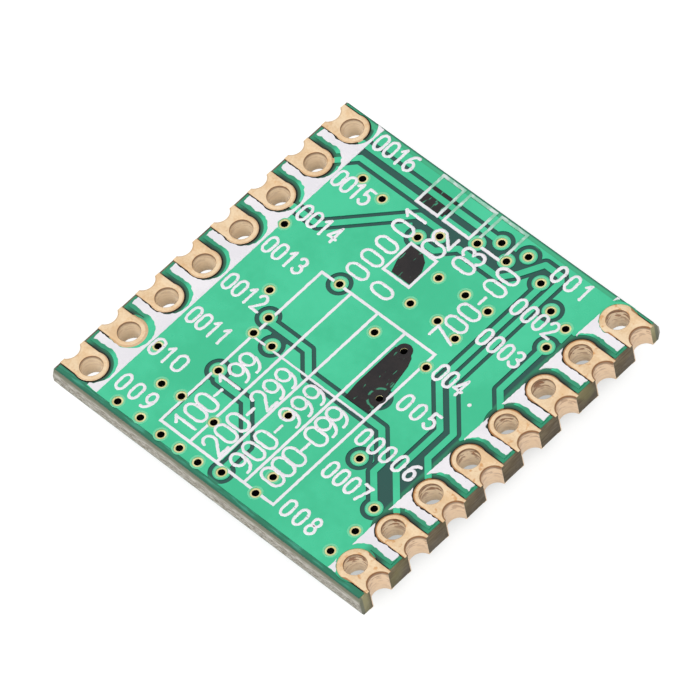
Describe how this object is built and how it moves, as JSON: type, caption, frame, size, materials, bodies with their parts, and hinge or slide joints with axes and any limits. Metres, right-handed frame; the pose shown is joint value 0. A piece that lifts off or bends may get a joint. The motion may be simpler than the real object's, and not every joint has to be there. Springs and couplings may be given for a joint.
{
  "type": "radio transceiver module",
  "caption": "Small square radio board with castellated gold edge pads along two sides, lying solder side up on its transceiver chip.",
  "frame": {"origin": "middle of the board's outline in plan, at the flat face of the transceiver that the module lies on", "axes": "+X from the left pad row (pins 9 to 16) to the right pad row (pins 1 to 8), +Y along the pad rows, +Z out of the solder side, which faces up"},
  "size_m": [0.0162, 0.016, 0.0021],
  "materials": {
    "capacitor_ceramic": "tan fired ceramic",
    "copper": "etched copper under the mask",
    "crystal_ceramic": "dark fired ceramic",
    "crystal_metal": "nickel-plated lid",
    "inductor_ceramic": "grey-blue fired ceramic",
    "laminate": "milled and scored glass-epoxy",
    "legend": "white screen print",
    "marker_ink": "dried marker ink",
    "mould_compound": "moulded epoxy with a fine texture",
    "pad_gold": "satin immersion gold over nickel",
    "resistor_ceramic": "white alumina",
    "resistor_glass": "black overcoat",
    "solder": "reflowed solder",
    "solder_mask": "glossy green resin, lighter over copper",
    "tinned_metal": "matte tin",
    "via_gold": "immersion gold ring round a dark bore"
  },
  "bodies": {
    "root": {"antenna_switch_body": "mould_compound", "antenna_switch_leads": "tinned_metal", "board_laminate": "laminate", "capacitor_bodies": "capacitor_ceramic", "capacitor_ends": "tinned_metal", "component_side_ground": "copper", "component_side_lands": "pad_gold", "component_side_legend": "legend", "component_side_mask": "solder_mask", "component_side_tracks": "copper", "crystal_base": "crystal_ceramic", "crystal_lid": "crystal_metal", "crystal_terminals": "tinned_metal", "edge_pad_01": "pad_gold", "edge_pad_02": "pad_gold", "edge_pad_03": "pad_gold", "edge_pad_04": "pad_gold", "edge_pad_05": "pad_gold", "edge_pad_06": "pad_gold", "edge_pad_07": "pad_gold", "edge_pad_08": "pad_gold", "edge_pad_09": "pad_gold", "edge_pad_10": "pad_gold", "edge_pad_11": "pad_gold", "edge_pad_12": "pad_gold", "edge_pad_13": "pad_gold", "edge_pad_14": "pad_gold", "edge_pad_15": "pad_gold", "edge_pad_16": "pad_gold", "ground_vias": "via_gold", "inductor_bodies": "inductor_ceramic", "inductor_ends": "tinned_metal", "option_ink_marks": "marker_ink", "resistor_bodies": "resistor_ceramic", "resistor_coats": "resistor_glass", "resistor_ends": "tinned_metal", "signal_vias": "via_gold", "solder_joints": "solder", "solder_side_ground": "copper", "solder_side_legend": "legend", "solder_side_mask": "solder_mask", "solder_side_tracks": "pad_gold", "transceiver_body": "mould_compound", "transceiver_heat_slug": "tinned_metal", "transceiver_leads": "tinned_metal"}
  },
  "joints": []
}
